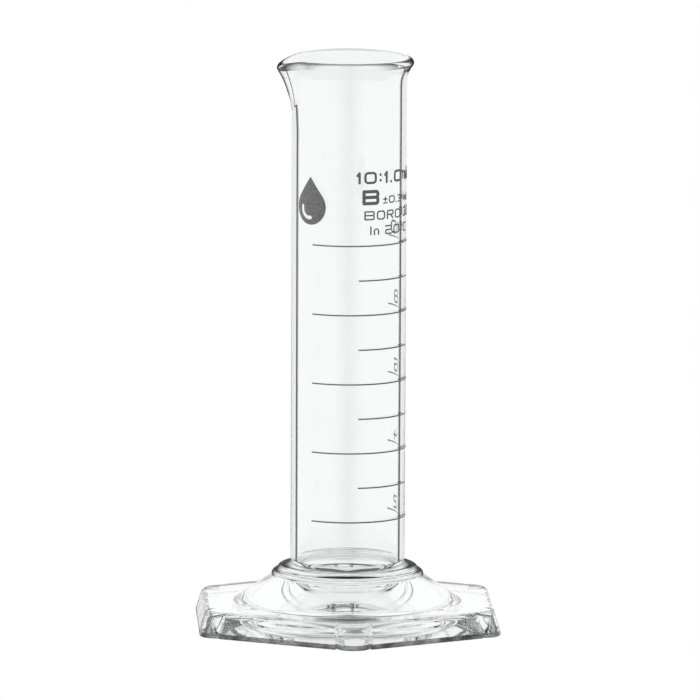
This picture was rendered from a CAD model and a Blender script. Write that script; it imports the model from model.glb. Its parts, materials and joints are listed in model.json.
"""The looks of a 10 ml squat graduated cylinder of clear glass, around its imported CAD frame.

Lengths are metres, and mm is one millimetre. +Z is up, the spout points to -X and the printed
scale faces the +X, -Y quarter. Print angles are measured from -Y towards +X, in degrees.
"""

import json
import math

import bpy
from mathutils import Matrix, Vector, geometry


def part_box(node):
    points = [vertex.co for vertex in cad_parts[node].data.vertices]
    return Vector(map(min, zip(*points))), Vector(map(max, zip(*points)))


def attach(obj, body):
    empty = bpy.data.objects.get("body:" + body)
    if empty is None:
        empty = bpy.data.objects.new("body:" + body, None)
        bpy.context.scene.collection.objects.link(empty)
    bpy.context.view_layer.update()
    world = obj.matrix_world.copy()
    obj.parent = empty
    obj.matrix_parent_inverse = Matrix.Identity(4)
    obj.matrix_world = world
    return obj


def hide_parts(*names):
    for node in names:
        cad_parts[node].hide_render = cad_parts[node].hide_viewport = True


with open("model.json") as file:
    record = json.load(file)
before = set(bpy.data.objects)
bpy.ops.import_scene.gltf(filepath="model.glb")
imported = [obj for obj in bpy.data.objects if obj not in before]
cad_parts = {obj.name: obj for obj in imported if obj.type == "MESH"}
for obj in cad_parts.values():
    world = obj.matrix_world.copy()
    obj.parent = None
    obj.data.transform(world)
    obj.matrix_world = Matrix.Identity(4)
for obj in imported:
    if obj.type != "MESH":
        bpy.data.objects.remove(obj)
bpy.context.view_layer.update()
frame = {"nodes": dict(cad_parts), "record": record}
mm = 0.001

# Sizes read from the frame
barrel_low, barrel_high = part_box("barrel")
seal_low, seal_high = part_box("seal_ring")
bore_mount = next(mount for mount in frame["record"]["mounts"] if mount["kind"] == "bore")
print_thickness = 0.05 * mm
bore_radius = bore_mount["dims"]["r_mm"] * mm
barrel_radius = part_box("graduation_line_10")[1].x - print_thickness
wall = barrel_radius - bore_radius
barrel_bottom = barrel_low.z
seal_bottom = seal_low.z
seal_top = seal_high.z
seal_radius = seal_high.x

# Rim and spout
lip_start = 76.0 * mm
rim_saddle = 0.2 * mm
rim_tilt = 0.2 * mm
rim_height = barrel_high.z - rim_tilt
bead_radius = 0.75 * mm
bead_centre_radius = 9.03 * mm
flare_length = 3.6 * mm
flare_power = 2.0
spout_reach = 1.22 * mm
spout_drop = 0.8 * mm
spout_extra_length = 3.0 * mm
spout_half_angle = 42.0
spout_power = 1.4
# The wall swells into the bead by this power of the way up the flare
swell_power = 6
# How far up and down the flare its slope is measured
flare_nudge = 0.01
# Where the bead starts and how far it turns, in degrees up from level
bead_start = -10.0
bead_turn = 200.0

# Bottom of the bore: a dish, with the powers that shape its side and its floor
bore_side_bottom = 8.8 * mm
bore_floor = 6.5 * mm
dish_side_power = 0.7
dish_floor_power = 0.9

# Seal: each bead's bulge and end as (outset, rise) from its lower edge, in millimetres
seal_beads = [((-0.15, 0.55), (-0.8, 0.8)), ((-1.1, 1.4), (-1.8, 1.6))]
# Bulge of the top bead as (outset from the barrel, rise from the seal's top), in millimetres
seal_top_bulge = (0.4, -0.6)

# Foot
foot_edge_height = 3.8 * mm
foot_corner_radius_top = 25.2 * mm
foot_corner_radius_bottom = 26.5 * mm
foot_lower_rounding = 0.5 * mm
foot_upper_rounding = 0.8 * mm
foot_corner_rounding = 2.5 * mm
cone_radius = 16.9 * mm
cavity_radius = 14.2 * mm
cavity_height = 4.4 * mm
cavity_top_radius = 7.5 * mm
# The fillet between neck and plate as (outset, rise) from the cone's foot, in millimetres
neck_end = (-0.6, 0.55)
neck_fillet = (0.05, 0.14)
neck_toe = (0.8, -0.02)
# The rounding of the hollow's lip as (outset, rise) from its mouth, in millimetres
cavity_lip_bulge = (-0.3, 0.6)
cavity_lip_end = (-1.0, 0.9)
# The rounding of the hollow's crown as (outset, rise) from its top, in millimetres
cavity_crown_start = (0.0, -0.35)
cavity_crown_bulge = (-0.9, -0.06)
cavity_crown_end = (-2.0, 0.0)

# Steps of the meshes
barrel_steps = 360
foot_steps = 720
flare_steps = 12
bead_steps = 16
dish_steps = 24
seal_bead_steps = 8
seal_top_steps = 10
neck_steps = 16
fillet_steps = 8
plate_steps = 14
rounding_steps = 6
side_steps = 8
cavity_lip_steps = 6
cavity_slope_steps = 10
cavity_crown_steps = 8
letter_corner_steps = 8
pen_steps = 20
drop_steps = 40
highlight_steps = 12
floor_steps = 64

# Material slots: the plain and the fused glass of each piece, then the barrel's others and the foot's
plain_slot, joint_slot = 0, 1
bore_slot, rim_slot = 2, 3
ground_slot, side_slot = 2, 3
# How many bands of the mesh have the rim's glass, down from the bead's top, and how many line the
# recess in the foot
rim_bands = 8
recess_bands = 3

# Print
numeral_height = 2.1 * mm
numeral_pen = 0.34 * mm
numeral_start_angle = 98.0
numeral_gap = 0.4 * mm
glyph_grid = 6.0
letter_gap = 0.26
mark_angle = -44.0
mark_base = 62.0 * mm
mark_height = 7.3 * mm
mark_radius = 2.75 * mm
# Three points on the middle of the mark's highlight, and its width
highlight = [(-1.6 * mm, 2.75 * mm), (-1.2 * mm, 1.45 * mm), (0.0, 1.1 * mm)]
highlight_width = 0.56 * mm
# The ink bites into the glass a little, so that no gap shows
ink_depth = 0.012 * mm
ink_inner = barrel_radius - ink_depth
ink_outer = barrel_radius + print_thickness
# In the flat drawing of the print, which is in millimetres: the width of the strips that it is cut
# into, how close two points must be to count as one, and the digits that its corners are rounded to
ink_step = 0.4
ink_tolerance = 1e-4
ink_digits = 5
# A run of a stroke that is shorter than this is left out, and where a stroke turns, the mitre stops
# growing when the cosine of half the turn is down to this
shortest_run = 1e-7
sharpest_mitre = 0.5

# Rows of the inscription: text, start angle, base height, letter height and pen width, in millimetres
inscription_rows = {
    "capacity": ("10:1.0 ml", 5.0, 68.4, 1.85, 0.36),
    "class": ("B", 11.2, 65.2, 2.3, 0.5),
    "tolerance": ("±0.3 ml", 34.0, 65.3, 1.15, 0.2),
    "glass": ("BORO 3.3", 13.2, 62.9, 1.4, 0.22),
    "temperature": ("In 20°C", 19.4, 60.6, 1.4, 0.22),
}

# Each glyph is its width, its corner rounding and its strokes, on a grid 6 units high.
# A stroke that ends where it starts is a loop.
glyphs = {
    "0": (6.6, 1.8, [[(0, 0), (6, 0), (6, 6), (0, 6), (0, 0)]]),
    "1": (2.4, 0.0, [[(0, 4.4), (5, 6), (5, 0)]]),
    "2": (6.0, 1.2, [[(0, 6), (6, 6), (6, 3), (0, 3), (0, 0), (6, 0)]]),
    "3": (6.0, 1.2, [[(0, 6), (6, 6), (6, 0), (0, 0)], [(1.5, 3), (6, 3)]]),
    "4": (6.6, 0.6, [[(0, 6), (0, 2), (6, 2)], [(4.6, 4), (4.6, 0)]]),
    "6": (6.4, 1.2, [[(6, 6), (0, 6), (0, 3.2)], [(0, 0), (6, 0), (6, 3.4), (0, 3.4), (0, 0)]]),
    "8": (6.4, 1.2, [[(0, 0), (6, 0), (6, 6), (0, 6), (0, 0)], [(0.3, 3.1), (5.7, 3.1)]]),
    "B": (7.2, 1.1, [
        [(0, 0), (0, 6)],
        [(0, 6), (6, 6), (6, 3.1), (0, 3.1)],
        [(0, 3.1), (6, 3.1), (6, 0), (0, 0)],
    ]),
    "C": (6.0, 1.6, [[(6, 6), (0, 6), (0, 0), (6, 0)]]),
    "I": (0.0, 0.0, [[(0, 0), (0, 6)]]),
    "O": (6.4, 1.8, [[(0, 0), (6, 0), (6, 6), (0, 6), (0, 0)]]),
    "R": (6.0, 1.0, [[(0, 0), (0, 6), (6, 6), (6, 3), (0, 3)], [(3, 3), (6, 0)]]),
    "l": (0.0, 0.0, [[(0, 0), (0, 6)]]),
    "m": (6.6, 0.8, [[(0, 0), (0, 4), (3, 4), (3, 0)], [(3, 4), (6, 4), (6, 0)]]),
    "n": (4.0, 0.8, [[(0, 0), (0, 4), (6, 4), (6, 0)]]),
    ".": (0.0, 0.0, [[(0, 0), (0, 0.2)]]),
    ":": (0.0, 0.0, [[(0, 1.2), (0, 1.4)], [(0, 4.6), (0, 4.8)]]),
    "±": (4.4, 0.0, [[(0, 0), (6, 0)], [(0, 3.6), (6, 3.6)], [(3, 1.9), (3, 5.3)]]),
    "°": (2.7, 0.7, [[(0, 3.9), (6, 3.9), (6, 6), (0, 6), (0, 3.9)]]),
    " ": (1.6, 0.0, []),
}

# Camera: angles in degrees, lens and sensor in millimetres
camera_azimuth = -2.25
camera_distance = 1.58
camera_height = 0.265
camera_aim_side = 0.25 * mm
camera_aim_height = 42.0 * mm
camera_roll = 0.24
camera_lens = 540.5
camera_sensor = 36.0
camera_range = 20.0

# Glass surfaces: streaks and waves are (scale on each axis, noise scale, bump distance), and the
# glass clouds between its two tints
glass_index = 1.473
cloud_scale = 90.0
even = (1.0, 1.0, 1.0)
along_tube = (1.0, 1.0, 0.05)
tube_streaks = (along_tube, 900.0, 0.0003 * mm)
tube_waves = (along_tube, 150.0, 0.002 * mm)
tube_tints = ((0.96, 0.965, 0.965), (0.972, 0.977, 0.977))
seal_streaks = (even, 700.0, 0.0005 * mm)
seal_waves = (even, 220.0, 0.0015 * mm)
seal_tints = ((0.96, 0.97, 0.97), (0.995, 1.0, 1.0))
foot_streaks = (even, 900.0, 0.001 * mm)
foot_waves = (even, 180.0, 0.012 * mm)
foot_tints = ((0.975, 0.98, 0.98), (0.995, 1.0, 1.0))
side_streaks = (even, 900.0, 0.002 * mm)
side_waves = (even, 320.0, 0.015 * mm)
side_tints = ((0.97, 0.98, 0.98), (0.99, 1.0, 1.0))
side_roughness = 0.1

# Rules by which glass takes up light at glancing angles: edge_share says what they hold
outer_edges = (
    {"rise": (0.52, 0.66), "share": 0.15},
    {"rise": (0.6, 0.78), "share": 0.95, "side": "entering", "beyond": (9.0 * mm, 9.3 * mm)},
)
bore_edges = (
    {"rise": (0.78, 0.86), "share": 0.97, "side": "entering"},
    {"rise": (0.262, 0.266), "fall": (0.279, 0.286), "share": 0.97, "side": "leaving"},
)
rim_edges = ({"rise": (0.08, 0.28), "share": 0.95, "side": "leaving"},)
seal_edges = ({"rise": (0.6, 0.82), "share": 0.9, "side": "entering"},)
dark_colour = (0.01, 0.01, 0.01, 1)

# Ground lower edge of the foot
ground_height = 0.85 * mm
ground_dark = (0.05, 0.05, 0.05)
ground_pale = (0.4, 0.4, 0.4)
ground_clearness = 0.4
blotch_scale = 260.0
grit_scale = 5000.0
grit_depth = 0.01 * mm

# Enamel
enamel_index = 1.5
enamel_dark = (0.15, 0.15, 0.153)
enamel_pale = (0.26, 0.26, 0.264)
coat_scale = 2600.0
grain_scale = 14000.0
grain_depth = 0.01 * mm

# Light above the horizon: the backdrop's and the room's, the turn from +Y over which the backdrop
# ends, and the sine of the elevation over which it ends overhead
back_light = 1.0
room_light = 0.15
backdrop_edge = (math.radians(60), math.radians(90))
backdrop_top = (0.85, 0.98)

# Floor: how glancing a ray has to be to find it bright, its light near the object and far from it,
# and the distances from the axis between which that changes
floor_radius = 4.0
floor_gap = 0.1 * mm
floor_gloss = (0.40, 0.52)
floor_near_light = 0.03
floor_far_light = 0.7
floor_dark_reach = (0.045, 0.08)
# Its glow in front of the backdrop, and the turn from +Y over which that ends
floor_glow = 0.75
floor_glow_edge = (math.radians(22), math.radians(36))
# How much of its light is left on the camera's side, and the turn from +Y over which it falls to that
front_light = 0.3
floor_front = (math.radians(148), math.radians(178))

# Lamp
lamp_place = (-0.35, -0.25, 0.9)
lamp_aim = (0, 0, 0.04)
lamp_size = 0.5
lamp_power = 6.0

light_bounces = 40


# Materials


def new_material(name):
    """An empty node material and its node tree."""
    material = bpy.data.materials.new(name)
    material.use_nodes = True
    material.node_tree.nodes.clear()
    return material, material.node_tree


def add_node(tree, kind, **inputs):
    """A node with its input sockets set. Underscores in the names stand for spaces."""
    node = tree.nodes.new(kind)
    for name, value in inputs.items():
        node.inputs[name.replace("_", " ")].default_value = value
    return node


def finish_surface(tree, shader):
    """Connect a shader to the material's output."""
    output = tree.nodes.new("ShaderNodeOutputMaterial")
    tree.links.new(shader.outputs[0], output.inputs["Surface"])


def stretched_coordinates(tree, scale):
    """Object coordinates, stretched by a scale on each axis."""
    place = tree.nodes.new("ShaderNodeTexCoord")
    mapping = add_node(tree, "ShaderNodeMapping", Scale=scale)
    tree.links.new(place.outputs["Object"], mapping.inputs["Vector"])
    return mapping.outputs["Vector"]


def noise_texture(tree, vector, scale, detail, roughness=0.5):
    """Fractal noise that reads a vector."""
    texture = add_node(tree, "ShaderNodeTexNoise", Scale=scale, Detail=detail, Roughness=roughness)
    tree.links.new(vector, texture.inputs["Vector"])
    return texture.outputs["Fac"]


def remapped(tree, value, low, high, to_low, to_high):
    """A value moved from one range to another, and kept inside it."""
    remap = add_node(tree, "ShaderNodeMapRange")
    for socket, number in zip(remap.inputs[1:5], (low, high, to_low, to_high)):
        socket.default_value = number
    tree.links.new(value, remap.inputs["Value"])
    return remap.outputs["Result"]


def bumped(tree, height, distance, strength, onto=None):
    """A bump normal from a height, laid over another normal if there is one."""
    bump = add_node(tree, "ShaderNodeBump", Strength=strength, Distance=distance)
    tree.links.new(height, bump.inputs["Height"])
    if onto is not None:
        tree.links.new(onto, bump.inputs["Normal"])
    return bump.outputs["Normal"]


def tinted(tree, factor, low, high):
    """A colour between two colours."""
    mix = tree.nodes.new("ShaderNodeMix")
    mix.data_type = "RGBA"
    mix.inputs["A"].default_value = (*low, 1)
    mix.inputs["B"].default_value = (*high, 1)
    tree.links.new(factor, mix.inputs["Factor"])
    return mix.outputs["Result"]


def value_math(tree, operation, first, second):
    """One sum on two values, each a socket or a number."""
    node = tree.nodes.new("ShaderNodeMath")
    node.operation = operation
    for socket, value in zip(node.inputs, (first, second)):
        if isinstance(value, float):
            socket.default_value = value
        else:
            tree.links.new(value, socket)
    return node.outputs[0]


def axis_distance(tree):
    """How far a place on the object is from the barrel's axis."""
    length = tree.nodes.new("ShaderNodeVectorMath")
    length.operation = "LENGTH"
    tree.links.new(stretched_coordinates(tree, (1, 1, 0)), length.inputs[0])
    return length.outputs["Value"]


def edge_share(tree, rule):
    """How much of its light the glass takes up, by how glancing the ray is.

    A rule has the range of facing over which it rises and the share it reaches. It can also have the range
    over which it falls again, the side it counts for, and the distances from the axis that bring it in.
    """
    facing = tree.nodes.new("ShaderNodeLayerWeight").outputs["Facing"]
    share = remapped(tree, facing, *rule["rise"], 0.0, rule["share"])
    if "fall" in rule:
        share = value_math(tree, "MULTIPLY", share, remapped(tree, facing, *rule["fall"], 1.0, 0.0))
    if "side" in rule:
        leaving = tree.nodes.new("ShaderNodeNewGeometry").outputs["Backfacing"]
        if rule["side"] == "entering":
            leaving = value_math(tree, "SUBTRACT", 1.0, leaving)
        share = value_math(tree, "MULTIPLY", share, leaving)
    if "beyond" in rule:
        outside = remapped(tree, axis_distance(tree), *rule["beyond"], 0.0, 1.0)
        share = value_math(tree, "MULTIPLY", share, outside)
    return share


def with_dark_edges(tree, clear, edges):
    """A clear shader mixed with a dark one, by the strongest of some edge rules."""
    share = edge_share(tree, edges[0])
    for rule in edges[1:]:
        share = value_math(tree, "MAXIMUM", share, edge_share(tree, rule))
    dark = add_node(tree, "ShaderNodeBsdfPrincipled", Base_Color=dark_colour, Roughness=0.9, IOR=1.01)
    blend = tree.nodes.new("ShaderNodeMixShader")
    tree.links.new(share, blend.inputs[0])
    tree.links.new(clear.outputs[0], blend.inputs[1])
    tree.links.new(dark.outputs[0], blend.inputs[2])
    return blend


def glass_material(name, streaks, waves, tints, edges=(), roughness=0.0):
    """Clear borosilicate glass, faintly streaky, wavy and cloudy, that takes up light by some edge rules."""
    material, tree = new_material(name)
    shader = add_node(tree, "ShaderNodeBsdfPrincipled", Roughness=roughness, IOR=glass_index)
    shader.inputs["Transmission Weight"].default_value = 1.0
    normal = None
    for scale, noise_scale, distance in (waves, streaks):
        height = noise_texture(tree, stretched_coordinates(tree, scale), noise_scale, detail=2.0)
        normal = bumped(tree, height, distance, strength=1.0, onto=normal)
    tree.links.new(normal, shader.inputs["Normal"])
    cloud = noise_texture(tree, stretched_coordinates(tree, even), cloud_scale, detail=2.0)
    colour = tinted(tree, remapped(tree, cloud, 0.35, 0.65, 0.0, 1.0), *tints)
    tree.links.new(colour, shader.inputs["Base Color"])
    finish_surface(tree, with_dark_edges(tree, shader, edges) if edges else shader)
    return material


def ground_material():
    """Glass that a wheel has ground matt and grey, with bare and blotchy places."""
    material, tree = new_material("ground_glass")
    shader = add_node(tree, "ShaderNodeBsdfPrincipled", IOR=glass_index)
    shader.inputs["Transmission Weight"].default_value = ground_clearness
    vector = stretched_coordinates(tree, even)
    blotches = noise_texture(tree, vector, blotch_scale, detail=4.0, roughness=0.65)
    grit = noise_texture(tree, vector, grit_scale, detail=2.0, roughness=0.6)
    colour = tinted(tree, remapped(tree, blotches, 0.38, 0.62, 0.0, 1.0), ground_dark, ground_pale)
    tree.links.new(colour, shader.inputs["Base Color"])
    tree.links.new(remapped(tree, blotches, 0.35, 0.65, 0.45, 0.15), shader.inputs["Roughness"])
    tree.links.new(bumped(tree, grit, grit_depth, strength=0.5), shader.inputs["Normal"])
    finish_surface(tree, shader)
    return material


def fused_joint_material():
    """Where two pieces of glass were melted into one, light goes straight through."""
    material, tree = new_material("fused_joint")
    finish_surface(tree, add_node(tree, "ShaderNodeBsdfTransparent"))
    return material


def enamel_material():
    """Fired grey ceramic ink, semi-matt, with pinholes and a slightly uneven coat."""
    material, tree = new_material("grey_enamel")
    shader = add_node(tree, "ShaderNodeBsdfPrincipled", IOR=enamel_index)
    vector = stretched_coordinates(tree, even)
    coat = noise_texture(tree, vector, coat_scale, detail=3.0)
    grain = noise_texture(tree, vector, grain_scale, detail=2.0, roughness=0.7)
    colour = tinted(tree, remapped(tree, coat, 0.3, 0.7, 0.0, 1.0), enamel_dark, enamel_pale)
    tree.links.new(colour, shader.inputs["Base Color"])
    tree.links.new(remapped(tree, grain, 0.3, 0.7, 0.38, 0.62), shader.inputs["Roughness"])
    tree.links.new(bumped(tree, grain, grain_depth, strength=0.6), shader.inputs["Normal"])
    finish_surface(tree, shader)
    return material


# Meshes


def turns_of(count):
    """Even turns round a circle, in radians."""
    return [2 * math.pi * step / count for step in range(count)]


def around_axis(radius, turn, height):
    """The point at this radius and height, at a turn from +X in radians."""
    return Vector((radius * math.cos(turn), radius * math.sin(turn), height))


def ring_of(radius, height, count):
    """A level circle of points, starting on +X."""
    return [around_axis(radius, turn, height) for turn in turns_of(count)]


def rings_along(outline, count):
    """A ring for each (radius, height) point of an outline."""
    return [ring_of(radius, height, count) for radius, height in outline]


def pole_at(height):
    """A ring of one point, on the axis."""
    return [Vector((0, 0, height))]


def mesh_object(name, vertices, faces, materials, face_materials, sharp=()):
    """A smooth mesh object. sharp holds the vertex pairs whose edges stay crisp."""
    mesh = bpy.data.meshes.new(name)
    mesh.from_pydata([tuple(v) for v in vertices], [], faces)
    for material in materials:
        mesh.materials.append(material)
    mesh.polygons.foreach_set("material_index", face_materials)
    mesh.polygons.foreach_set("use_smooth", [True] * len(mesh.polygons))
    crisp = {frozenset(pair) for pair in sharp}
    for edge in mesh.edges:
        if frozenset(edge.vertices) in crisp:
            edge.use_edge_sharp = True
    mesh.update()
    thing = bpy.data.objects.new(name, mesh)
    bpy.context.scene.collection.objects.link(thing)
    return thing


def band_faces(below, above):
    """The faces between two rings, given as vertex numbers. A pole has only one."""
    count = max(len(below), len(above))
    faces = []
    for step in range(count):
        after = (step + 1) % count
        if len(below) == 1:
            faces.append((below[0], above[after], above[step]))
        elif len(above) == 1:
            faces.append((below[step], below[after], above[0]))
        else:
            faces.append((below[step], below[after], above[after], above[step]))
    return faces


def ringed_object(name, rings, materials, band_slots, sharp_rings):
    """A closed mesh through rings of points, from pole to pole or, without poles, back to the first ring.

    band_slots gives the bands between rings that take another material than the first.
    """
    vertices = []
    numbered = []
    for ring in rings:
        numbered.append(range(len(vertices), len(vertices) + len(ring)))
        vertices.extend(ring)
    has_poles = len(rings[0]) == 1
    ends = numbered[1:] if has_poles else numbered[1:] + numbered[:1]
    faces = []
    slots = []
    for band, (below, above) in enumerate(zip(numbered, ends)):
        found = band_faces(below, above)
        faces.extend(found)
        slots.extend([band_slots.get(band, plain_slot)] * len(found))
    sharp = []
    for place in sharp_rings:
        ring = numbered[place]
        sharp.extend(zip(ring, [*ring[1:], ring[0]]))
    return mesh_object(name, vertices, faces, materials, slots, sharp)


def arc_through(start, middle, end, steps):
    """Points along the circle arc through three (radius, height) pairs, ends included."""
    (ax, ay), (bx, by), (cx, cy) = start, middle, end
    scale = 2 * (ax * (by - cy) + bx * (cy - ay) + cx * (ay - by))
    a2, b2, c2 = ax * ax + ay * ay, bx * bx + by * by, cx * cx + cy * cy
    x = (a2 * (by - cy) + b2 * (cy - ay) + c2 * (ay - by)) / scale
    y = (a2 * (cx - bx) + b2 * (ax - cx) + c2 * (bx - ax)) / scale
    first = math.atan2(ay - y, ax - x)
    turn_middle = (math.atan2(by - y, bx - x) - first + math.pi) % (2 * math.pi) - math.pi
    turn = (math.atan2(cy - y, cx - x) - first + math.pi) % (2 * math.pi) - math.pi
    if turn * turn_middle < 0:
        turn += 2 * math.pi * math.copysign(1, turn_middle)
    reach = math.hypot(ax - x, ay - y)
    angles = [first + turn * step / steps for step in range(steps + 1)]
    return [(x + reach * math.cos(a), y + reach * math.sin(a)) for a in angles]


def straight_between(start, end, steps):
    """Points from start up to, but not including, end."""
    shares = [step / steps for step in range(steps)]
    return [(start[0] + (end[0] - start[0]) * s, start[1] + (end[1] - start[1]) * s) for s in shares]


def shifted(radius, height, offset):
    """A (radius, height) point moved by an (outset, rise) in millimetres."""
    return (radius + offset[0] * mm, height + offset[1] * mm)


# Barrel


def spout_share(angle):
    """How far the spout has taken over, 0 to 1, at an angle in degrees from its middle."""
    if abs(angle) >= spout_half_angle:
        return 0.0
    return math.cos(math.radians(90.0 * angle / spout_half_angle)) ** 2


def lip_shape(angle):
    """The bead's centre as (radius, height), the height where the flare starts, and the flare's power.

    angle is in degrees from the middle of the spout.
    """
    share = spout_share(angle)
    turn = math.radians(angle)
    top = rim_height - rim_saddle * math.cos(turn) ** 2 - rim_tilt * math.sin(turn)
    bead_height = top - spout_drop * share - bead_radius
    start = bead_height - flare_length - spout_extra_length * share
    power = flare_power + (spout_power - flare_power) * share
    return (bead_centre_radius + spout_reach * share, bead_height), start, power


def flare_middle(shape, t):
    """(radius, height) on the middle of the flared wall, from its start (t is 0) to the bead's centre (1)."""
    bead, start, power = shape
    straight = bore_radius + wall / 2
    return straight + (bead[0] - straight) * t ** power, start + (bead[1] - start) * t


def flare_surface(shape, t, side):
    """(radius, height) on the outside of the flared wall, or on its inside where side is -1."""
    lower = flare_middle(shape, max(t - flare_nudge, 0.0))
    upper = flare_middle(shape, t + flare_nudge)
    along = math.hypot(upper[0] - lower[0], upper[1] - lower[1])
    half = wall / 2 + (bead_radius - wall / 2) * t ** swell_power
    radius, height = flare_middle(shape, t)
    out = (upper[1] - lower[1]) / along * half * side
    rise = -(upper[0] - lower[0]) / along * half * side
    return radius + out, height + rise


def lip_profile(angle):
    """(radius, height) points up the outside of the lip, over its bead and down the bore."""
    shape = lip_shape(angle)
    bead_at, bead_height = shape[0]
    steps = [step / flare_steps for step in range(flare_steps - 1)]
    outside = [flare_surface(shape, t, 1) for t in steps]
    inside = [flare_surface(shape, t, -1) for t in reversed(steps)]
    bead = []
    for step in range(bead_steps + 1):
        turn = math.radians(bead_start + bead_turn * step / bead_steps)
        radius = bead_at + bead_radius * math.cos(turn)
        bead.append((radius, bead_height + bead_radius * math.sin(turn)))
    return outside + bead + inside


def lip_rings():
    """The rings up the outside of the lip, over its bead and down the bore."""
    angles = [360.0 * step / barrel_steps for step in range(barrel_steps)]
    profiles = [lip_profile(angle - 180.0) for angle in angles]
    rings = []
    for points in zip(*profiles):
        places = zip(angles, points)
        rings.append([around_axis(radius, math.radians(angle), height) for angle, (radius, height) in places])
    return rings


def bore_bottom():
    """(radius, height) points down the dish that closes the bore, from its side to the axis."""
    points = []
    for step in range(dish_steps):
        turn = math.radians(90.0 * step / dish_steps)
        radius = bore_radius * math.cos(turn) ** dish_side_power
        depth = (bore_side_bottom - bore_floor) * math.sin(turn) ** dish_floor_power
        points.append((radius, bore_side_bottom - depth))
    return points


def make_barrel(glasses):
    """The clear tube from its seat in the foot to its bead and spout."""
    seat = [(barrel_radius, barrel_bottom), (barrel_radius, seal_bottom), (barrel_radius, seal_top)]
    seat_rings = [pole_at(barrel_bottom)] + rings_along(seat, barrel_steps)
    rings = seat_rings + [ring_of(barrel_radius, lip_start, barrel_steps)] + lip_rings()
    bead_top = max(range(len(rings)), key=lambda place: rings[place][0].z)
    bore_start = bead_top + rim_bands
    bore_end = len(rings)
    rings += rings_along([(bore_radius, lip_start)] + bore_bottom(), barrel_steps)
    rings.append(pole_at(bore_floor))
    slots = {band: joint_slot for band in range(len(seat_rings) - 1)}
    slots.update({band: rim_slot for band in range(bead_top, bore_start)})
    slots.update({band: bore_slot for band in range(bore_start, bore_end + 1)})
    crisp = (1, len(seat))
    return ringed_object("clear_barrel", rings, glasses, slots, crisp)


# Seal and foot


def make_seal(glasses):
    """The stepped ring of glass that fuses the barrel to the foot."""
    start = (seal_radius, seal_bottom)
    outline = [(barrel_radius, seal_bottom), start]
    for bulge, end in seal_beads:
        middle = shifted(seal_radius, seal_bottom, bulge)
        finish = shifted(seal_radius, seal_bottom, end)
        outline += arc_through(start, middle, finish, seal_bead_steps)[1:]
        start = finish
    middle = shifted(barrel_radius, seal_top, seal_top_bulge)
    outline += arc_through(start, middle, (barrel_radius, seal_top), seal_top_steps)[1:]
    last = len(outline) - 1
    slots = {0: joint_slot, last: joint_slot}
    crisp = (0, 1, last)
    return ringed_object("fused_seal", rings_along(outline, barrel_steps), glasses, slots, crisp)


def hexagon_radius(turn, corner_radius):
    """How far a rounded hexagon's outline is from its centre in one direction, in radians."""
    across = (turn + math.pi / 2) % (math.pi / 3)
    from_corner = min(across, math.pi / 3 - across)
    flat = corner_radius * math.cos(math.pi / 6) / math.cos(math.pi / 6 - from_corner)
    centre = corner_radius - foot_corner_rounding / math.cos(math.pi / 6)
    side = centre * math.sin(from_corner)
    if side >= foot_corner_rounding:
        return flat
    rounded = centre * math.cos(from_corner) + math.sqrt(foot_corner_rounding ** 2 - side ** 2)
    return min(flat, rounded)


def hexagon_ring(corner_radius, height, share=1.0, circle=0.0):
    """A ring part of the way from a circle to the rounded hexagon."""
    ring = []
    for turn in turns_of(foot_steps):
        radius = circle + (hexagon_radius(turn, corner_radius) - circle) * share
        ring.append(around_axis(radius, turn, height))
    return ring


def neck_rings():
    """The rings out of the recess that the barrel sits in, and down the neck to the plate."""
    seat = [(barrel_radius, barrel_bottom), (barrel_radius, seal_bottom)]
    end = shifted(cone_radius, foot_edge_height, neck_end)
    fillet = shifted(cone_radius, foot_edge_height, neck_fillet)
    toe = shifted(cone_radius, foot_edge_height, neck_toe)
    neck = straight_between((seal_radius, seal_bottom), end, neck_steps)
    neck += arc_through(end, fillet, toe, fillet_steps)
    return [pole_at(barrel_bottom)] + rings_along(seat + neck, foot_steps)


def quarter_round(rounding):
    """Points of a rounded edge, as (distance from one face, distance from the other)."""
    turns = [math.radians(90 * step / rounding_steps) for step in range(rounding_steps + 1)]
    return [(rounding * (1 - math.cos(turn)), rounding * (1 - math.sin(turn))) for turn in turns]


def edge_outline():
    """(corner radius, height) points down the plate's edge, over both of its roundings."""
    upper = [(foot_edge_height - drop, inset) for drop, inset in quarter_round(foot_upper_rounding)]
    lower = quarter_round(foot_lower_rounding)[::-1]
    side = straight_between((upper[-1][0], 0.0), (lower[0][0], 0.0), side_steps)[1:]
    draft = (foot_corner_radius_bottom - foot_corner_radius_top) / foot_edge_height
    points = []
    for height, inset in upper + side + lower:
        points.append((foot_corner_radius_bottom - draft * height - inset, height))
    return points


def plate_rings():
    """The rings of the plate, from the neck over its edge to the mouth of the hollow."""
    top_corner = foot_corner_radius_top - foot_upper_rounding
    bottom_corner = foot_corner_radius_bottom - foot_lower_rounding
    toe_radius = cone_radius + neck_toe[0] * mm
    shares = [step / plate_steps for step in range(1, plate_steps)]
    rings = [hexagon_ring(top_corner, foot_edge_height, share, toe_radius) for share in shares]
    rings += [hexagon_ring(corner_radius, height) for corner_radius, height in edge_outline()]
    rings += [hexagon_ring(bottom_corner, 0.0, share, cavity_radius) for share in reversed(shares)]
    return rings


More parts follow.
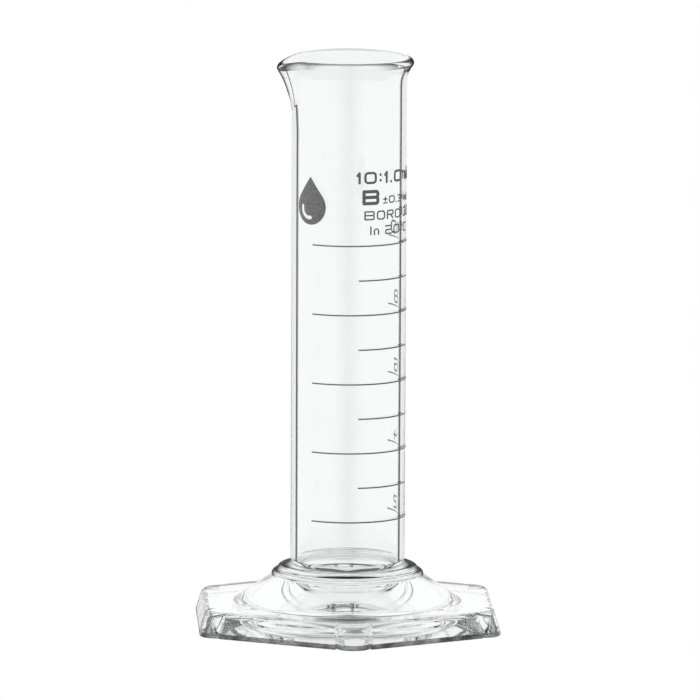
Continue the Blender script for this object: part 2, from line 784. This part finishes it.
def hollow_rings():
    """The rings of the hollow under the foot, from its mouth to the middle of its crown."""
    mouth = (cavity_radius, 0.0)
    lip_bulge = shifted(*mouth, cavity_lip_bulge)
    lip_end = shifted(*mouth, cavity_lip_end)
    crown_start = shifted(cavity_top_radius, cavity_height, cavity_crown_start)
    crown_bulge = shifted(cavity_top_radius, cavity_height, cavity_crown_bulge)
    crown_end = shifted(cavity_top_radius, cavity_height, cavity_crown_end)
    outline = arc_through(mouth, lip_bulge, lip_end, cavity_lip_steps)
    outline += straight_between(lip_end, crown_start, cavity_slope_steps)[1:]
    outline += arc_through(crown_start, crown_bulge, crown_end, cavity_crown_steps)
    outline += straight_between(crown_end, (0.0, cavity_height), cavity_crown_steps)[1:]
    return rings_along(outline, foot_steps) + [pole_at(cavity_height)]


def make_foot(glasses):
    """The pressed hexagonal foot with its neck and hollow, and its ground lower edge."""
    rings = (neck_rings() + plate_rings() + hollow_rings())[::-1]
    last = len(rings) - 1
    recess = range(last - recess_bands, last)
    slots = {band: joint_slot for band in recess}
    low = [max(place.z for place in ring) < ground_height for ring in rings]
    wide = [max(place.xy.length for place in ring) > foot_corner_radius_top for ring in rings]
    for band in range(last):
        if wide[band] and wide[band + 1]:
            slots[band] = ground_slot if low[band] and low[band + 1] else side_slot
    return ringed_object("pressed_foot", rings, glasses, slots, recess)


# Print


def on_barrel(radius, angle, height):
    """The point at this radius and height, at a print angle in radians."""
    return Vector((radius * math.sin(angle), -radius * math.cos(angle), height))


def within_any(point, shapes):
    """True if a point is inside one of these convex shapes, whose corners run anticlockwise."""
    for shape in shapes:
        if all((b - a).cross(point - a) >= 0 for a, b in zip(shape, shape[1:] + shape[:1])):
            return True
    return False


def upright_cuts(points):
    """The ends, in pairs, of upright lines that cut up the area of these points."""
    first = math.floor(min(point.x for point in points) / ink_step)
    last = math.ceil(max(point.x for point in points) / ink_step)
    below = min(point.y for point in points) - 1
    above = max(point.y for point in points) + 1
    ends = []
    for step in range(first, last + 1):
        ends.append(Vector((step * ink_step, below)))
        ends.append(Vector((step * ink_step, above)))
    return ends


def inked_triangles(covers, clear):
    """Triangles, as point triples in millimetres, over flat outlines in metres, less the clear ones.

    Upright cuts keep the triangles narrow, so that they follow the barrel's curve.
    """
    points = []
    outlines = []
    for outline in covers + clear:
        outlines.append(list(range(len(points), len(points) + len(outline))))
        points.extend(Vector(point) / mm for point in outline)
    shapes = [[points[corner] for corner in outline] for outline in outlines]
    inked = shapes[:len(covers)]
    blank = shapes[len(covers):]
    ends = upright_cuts(points)
    cuts = [(number, number + 1) for number in range(len(points), len(points) + len(ends), 2)]
    found = geometry.delaunay_2d_cdt(points + ends, cuts, outlines, 0, ink_tolerance)
    kept = []
    for triangle in found[2]:
        corners = [found[0][corner] for corner in triangle]
        middle = (corners[0] + corners[1] + corners[2]) / 3
        if within_any(middle, inked) and not within_any(middle, blank):
            kept.append(corners)
    return kept


def numbered_corners(triangles):
    """The places of the triangles' corners, each once, and the triangles as numbers of places."""
    places = {}
    numbered = []
    for triangle in triangles:
        spots = [tuple(round(value, ink_digits) for value in corner) for corner in triangle]
        corners = [places.setdefault(spot, len(places)) for spot in spots]
        if len(set(corners)) == 3:
            numbered.append(corners)
    return list(places), numbered


def shell_faces(triangles, outer, inner):
    """The faces over, under and round a patch of triangles, and the vertex pairs of its crisp edges.

    outer and inner are the numbers of its first vertex on each side.
    """
    faces = []
    sides = set()
    for a, b, c in triangles:
        faces.append((outer + a, outer + b, outer + c))
        faces.append((inner + c, inner + b, inner + a))
        sides.update(((a, b), (b, c), (c, a)))
    sharp = []
    for a, b in sorted(sides):
        if (b, a) not in sides:
            faces.append((outer + b, outer + a, inner + a, inner + b))
            sharp.append((outer + a, outer + b))
            sharp.append((inner + a, inner + b))
    return faces, sharp


def ink_object(name, vertices, faces, sharp):
    """A mesh object of enamel."""
    return mesh_object(name, vertices, faces, [enamel], [plain_slot] * len(faces), sharp)


def printed_object(name, groups, start_angle, base):
    """Ink on the barrel over groups of (covering outlines, clear outlines)."""
    start = math.radians(start_angle)
    vertices = []
    faces = []
    sharp = []
    for covers, clear in groups:
        places, triangles = numbered_corners(inked_triangles(covers, clear))
        first = len(vertices)
        for radius in (ink_outer, ink_inner):
            for along, rise in places:
                vertices.append(on_barrel(radius, start + along * mm / barrel_radius, base + rise * mm))
        group_faces, group_sharp = shell_faces(triangles, first, first + len(places))
        faces += group_faces
        sharp += group_sharp
    return ink_object(name, vertices, faces, sharp)


def disc_outline(centre, radius):
    """A circle as a list of points."""
    turns = turns_of(pen_steps)
    return [(centre[0] + radius * math.cos(t), centre[1] + radius * math.sin(t)) for t in turns]


def rounded_path(points, rounding):
    """The path's points with each corner replaced by an arc, and whether it is a loop."""
    closed = points[0] == points[-1]
    spots = [Vector(point) for point in points[:-1]] if closed else [Vector(point) for point in points]
    if rounding <= 0:
        return spots, closed
    path = []
    for place, spot in enumerate(spots):
        if not closed and place in (0, len(spots) - 1):
            path.append(spot)
            continue
        before = (spots[place - 1] - spot).normalized()
        after = (spots[(place + 1) % len(spots)] - spot).normalized()
        half = before.angle(after) / 2
        entry = spot + before * (rounding / math.tan(half))
        leave = spot + after * (rounding / math.tan(half))
        middle = spot + (before + after).normalized() * (rounding / math.sin(half) - rounding)
        path.extend(Vector(point) for point in arc_through(entry, middle, leave, letter_corner_steps))
    return path, closed


def stroke_outlines(points, rounding, pen):
    """Outlines that together cover what a round pen of this width draws along a path."""
    path, closed = rounded_path(points, rounding)
    pairs = list(zip(path, path[1:] + path[:1] if closed else path[1:]))
    pairs = [(start, end) for start, end in pairs if (end - start).length > shortest_run]
    sides = []
    for start, end in pairs:
        along = (end - start).normalized()
        sides.append(Vector((-along.y, along.x)) * (pen / 2))
    outlines = []
    for place, (start, end) in enumerate(pairs):
        first = last = sides[place]
        if rounding > 0 and (closed or place > 0):
            first = mitred(sides[place - 1], first)
        if rounding > 0 and (closed or place < len(pairs) - 1):
            last = mitred(last, sides[(place + 1) % len(pairs)])
        outlines.append([start + first, start - first, end - last, end + last])
    if rounding <= 0:
        outlines += [disc_outline(spot, pen / 2) for spot in path]
    elif not closed:
        outlines += [disc_outline(spot, pen / 2) for spot in (path[0], path[-1])]
    return outlines


def mitred(before, after):
    """The side step that two neighbouring runs of a stroke share at their corner."""
    middle = (before + after).normalized()
    return middle * (after.length / max(middle.dot(after.normalized()), sharpest_mitre))


def text_outlines(text, height, pen):
    """Groups of outlines, one for each glyph, of a row that starts at zero."""
    gap = letter_gap * height
    groups = []
    along = 0.0
    for letter in text:
        width, rounding, strokes = glyphs[letter]
        width = width / glyph_grid * height
        across = max(width - pen, 0.0) / glyph_grid
        rise = (height - pen) / glyph_grid
        middle = along + max(width, pen) / 2
        outlines = []
        for stroke in strokes:
            points = [(middle + (x - glyph_grid / 2) * across, y * rise + pen / 2) for x, y in stroke]
            outlines += stroke_outlines(points, rounding * min(across, rise), pen)
        if outlines:
            groups.append((outlines, []))
        along += max(width, pen) + gap
    return groups


def drop_outlines():
    """The drop's outline, and the curved highlight left clear in it."""
    half = math.acos(mark_radius / (mark_height - mark_radius))
    left = (-mark_radius * math.sin(half), mark_radius + mark_radius * math.cos(half))
    right = (-left[0], left[1])
    belly = arc_through(left, (0.0, 0.0), right, drop_steps)
    bow = arc_through(*highlight, highlight_steps)
    return [[(0.0, mark_height)] + belly], stroke_outlines(bow, 0.0, highlight_width)


def make_line(node, name):
    """One line of the scale, between the ends and heights of its CAD node."""
    low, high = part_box(node)
    start, end = line_ends(node)
    steps = round((end - start) * barrel_radius / (ink_step * mm))
    section = ((ink_outer, low.z), (ink_inner, low.z), (ink_inner, high.z), (ink_outer, high.z))
    corners = len(section)
    vertices = []
    for step in range(steps + 1):
        angle = start + (end - start) * step / steps
        vertices.extend(on_barrel(radius, angle, height) for radius, height in section)
    faces = [tuple(reversed(range(corners))), tuple(range(corners * steps, corners * (steps + 1)))]
    sharp = []
    for face in faces:
        sharp.extend(zip(face, face[1:] + face[:1]))
    for here in range(0, corners * steps, corners):
        for side in range(corners):
            after = (side + 1) % corners
            faces.append((here + side, here + after, here + corners + after, here + corners + side))
            sharp.append((here + side, here + corners + side))
    return ink_object(name, vertices, faces, sharp)


def line_ends(node):
    """The print angles where a line starts and ends, in radians, from the corners of its mesh."""
    turns = [math.atan2(v.co.x, -v.co.y) for v in frame["nodes"][node].data.vertices]
    return min(turns), max(turns)


def stand_for(piece, node):
    """A piece stands for a CAD node, moves with the object and takes its finish from a slot."""
    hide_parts(node)
    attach(piece, "root")


def make_prints():
    """Every printed mark: lines, numerals, inscription and drop."""
    for ml in range(2, 11):
        line_node = f"graduation_line_{ml:02d}"
        stand_for(make_line(line_node, f"ink_line_{ml:02d}"), line_node)
        if ml % 2:
            continue
        low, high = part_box(line_node)
        groups = text_outlines(str(ml), numeral_height, numeral_pen)
        base = (low.z + high.z) / 2 + numeral_gap
        numeral = printed_object(f"ink_numeral_{ml:02d}", groups, numeral_start_angle, base)
        stand_for(numeral, f"numeral_{ml:02d}")
    for name, (text, angle, base, height, pen) in inscription_rows.items():
        groups = text_outlines(text, height * mm, pen * mm)
        row = printed_object(f"ink_{name}", groups, angle, base * mm)
        stand_for(row, f"inscription_{name}")
    drop = printed_object("ink_drop", [drop_outlines()], mark_angle, mark_base)
    stand_for(drop, "drop_mark")


# Stage


def aside_of_backdrop(tree, place):
    """How far round from +Y a place or direction is, from 0 to pi."""
    axes = tree.nodes.new("ShaderNodeSeparateXYZ")
    tree.links.new(place, axes.inputs["Vector"])
    turn = value_math(tree, "ARCTAN2", axes.outputs["X"], axes.outputs["Y"])
    return value_math(tree, "ABSOLUTE", turn, 0.0)


def shown_white(tree, light):
    """A light that the camera itself sees as plain white."""
    path = tree.nodes.new("ShaderNodeLightPath")
    return value_math(tree, "MAXIMUM", path.outputs["Is Camera Ray"], light)


def floor_material():
    """A polished white floor, which glows by rule instead of mirroring the room.

    It's bright to a low ray and dark to a steep one near the object. It glows in front of the backdrop and
    dims on the camera's side. The camera itself sees it plain white.
    """
    material, tree = new_material("glossy_floor")
    facing = tree.nodes.new("ShaderNodeLayerWeight").outputs["Facing"]
    steep = remapped(tree, axis_distance(tree), *floor_dark_reach, floor_near_light, floor_far_light)
    mirrored = value_math(tree, "MAXIMUM", remapped(tree, facing, *floor_gloss, 0.0, 1.0), steep)
    aside = aside_of_backdrop(tree, tree.nodes.new("ShaderNodeTexCoord").outputs["Object"])
    mirrored = value_math(tree, "MULTIPLY", mirrored, remapped(tree, aside, *floor_front, 1.0, front_light))
    lit = remapped(tree, aside, *floor_glow_edge, floor_glow, 0.0)
    glow = tree.nodes.new("ShaderNodeEmission")
    tree.links.new(shown_white(tree, value_math(tree, "MAXIMUM", mirrored, lit)), glow.inputs["Strength"])
    finish_surface(tree, glow)
    return material


def make_stage():
    """A plain white floor, the room's light and one soft lamp."""
    outline = ring_of(floor_radius, -floor_gap, floor_steps)
    floor = mesh_object("floor", outline, [tuple(range(floor_steps))], [floor_material()], [plain_slot])
    make_room()
    add_lamp()


def make_room():
    """The light above the horizon: a bright backdrop behind the object, and darker aside and overhead."""
    world = bpy.data.worlds.new("studio")
    bpy.context.scene.world = world
    world.use_nodes = True
    tree = world.node_tree
    tree.nodes.clear()
    direction = tree.nodes.new("ShaderNodeTexCoord").outputs["Generated"]
    across = remapped(tree, aside_of_backdrop(tree, direction), *backdrop_edge, back_light, room_light)
    axes = tree.nodes.new("ShaderNodeSeparateXYZ")
    tree.links.new(direction, axes.inputs["Vector"])
    above = remapped(tree, axes.outputs["Z"], *backdrop_top, back_light, room_light)
    background = add_node(tree, "ShaderNodeBackground", Color=(1, 1, 1, 1))
    level = value_math(tree, "MINIMUM", across, above)
    tree.links.new(shown_white(tree, level), background.inputs["Strength"])
    output = tree.nodes.new("ShaderNodeOutputWorld")
    tree.links.new(background.outputs[0], output.inputs["Surface"])


def add_lamp():
    """A square soft light that points at the object's middle. It doesn't show in the glass."""
    light = bpy.data.lights.new("overhead", "AREA")
    light.energy = lamp_power
    light.size = lamp_size
    lamp = bpy.data.objects.new("overhead", light)
    lamp.location = lamp_place
    lamp.visible_glossy = False
    lamp.visible_transmission = False
    lamp.rotation_euler = (Vector(lamp_aim) - Vector(lamp_place)).to_track_quat("-Z", "Y").to_euler()
    bpy.context.scene.collection.objects.link(lamp)


def make_camera():
    """A long lens from far away, a little above the object."""
    turn = math.radians(camera_azimuth)
    place = Vector((math.sin(turn) * camera_distance, -math.cos(turn) * camera_distance, camera_height))
    aim = Vector((math.cos(turn), math.sin(turn), 0)) * camera_aim_side + Vector((0, 0, camera_aim_height))
    data = bpy.data.cameras.new("studio_camera")
    data.sensor_width = camera_sensor
    data.lens = camera_lens
    data.clip_end = camera_range
    camera = bpy.data.objects.new("studio_camera", data)
    level = (aim - place).to_track_quat("-Z", "Y").to_matrix()
    rolled = level @ Matrix.Rotation(math.radians(camera_roll), 3, "Z")
    camera.matrix_world = Matrix.Translation(place) @ rolled.to_4x4()
    bpy.context.scene.collection.objects.link(camera)
    bpy.context.scene.camera = camera


# Scene

joint = fused_joint_material()
enamel = enamel_material()
barrel_glass = glass_material("barrel_glass", tube_streaks, tube_waves, tube_tints, outer_edges)
bore_glass = glass_material("bore_glass", tube_streaks, tube_waves, tube_tints, bore_edges)
rim_glass = glass_material("rim_glass", tube_streaks, tube_waves, tube_tints, rim_edges)
ground_glass = ground_material()
side_glass = glass_material("side_glass", side_streaks, side_waves, side_tints, roughness=side_roughness)
seal_glass = glass_material("seal_glass", seal_streaks, seal_waves, seal_tints, seal_edges)
foot_glass = glass_material("foot_glass", foot_streaks, foot_waves, foot_tints)

make_camera()
make_stage()
stand_for(make_barrel([barrel_glass, joint, bore_glass, rim_glass]), "barrel")
stand_for(make_seal([seal_glass, joint]), "seal_ring")
stand_for(make_foot([foot_glass, joint, ground_glass, side_glass]), "hexagonal_foot")
make_prints()
bpy.context.scene.view_settings.view_transform = "Standard"
bpy.context.scene.cycles.max_bounces = light_bounces
bpy.context.scene.cycles.transmission_bounces = light_bounces
bpy.context.scene.cycles.glossy_bounces = light_bounces
bpy.context.scene.cycles.transparent_max_bounces = light_bounces
